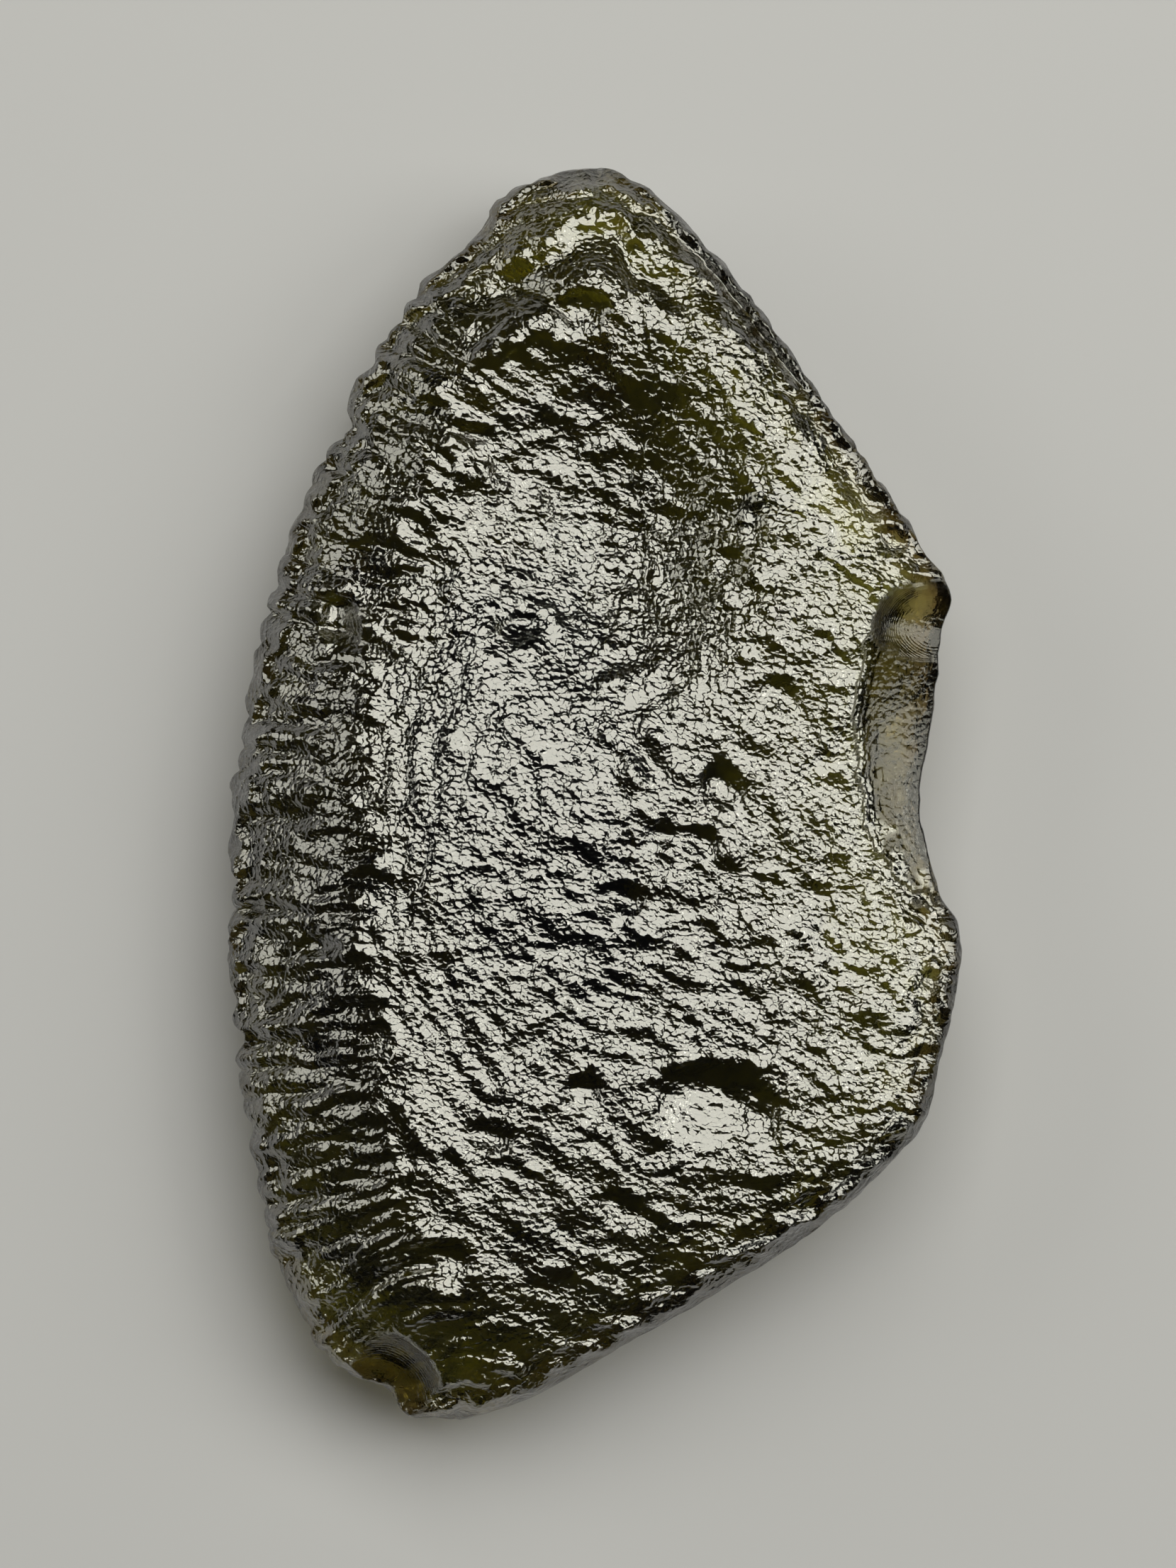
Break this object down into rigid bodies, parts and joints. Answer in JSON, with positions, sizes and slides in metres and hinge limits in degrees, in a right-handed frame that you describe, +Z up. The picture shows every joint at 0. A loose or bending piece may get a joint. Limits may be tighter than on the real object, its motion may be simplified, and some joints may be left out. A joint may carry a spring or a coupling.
{
  "type": "moldavite",
  "caption": "Flat shield-shaped lump of translucent bottle-green natural glass, etched all over into ribs, cups and pits, lying on a small flat spot of its rounded back.",
  "frame": {"origin": "on the surface that the stone rests on, under the middle of its outline", "axes": "+Y runs up its length to the narrow end, +X across it towards the edge with the shell-shaped chip, +Z up out of the etched front"},
  "size_m": [0.0294, 0.05, 0.0084],
  "materials": {
    "moldavite_glass": "etched natural glass, satin on the ribs and cups, smooth in the bubbles and shell-shaped chips, bottle green to olive where it is thin"
  },
  "bodies": {
    "root": {"moldavite": "moldavite_glass"}
  },
  "joints": []
}
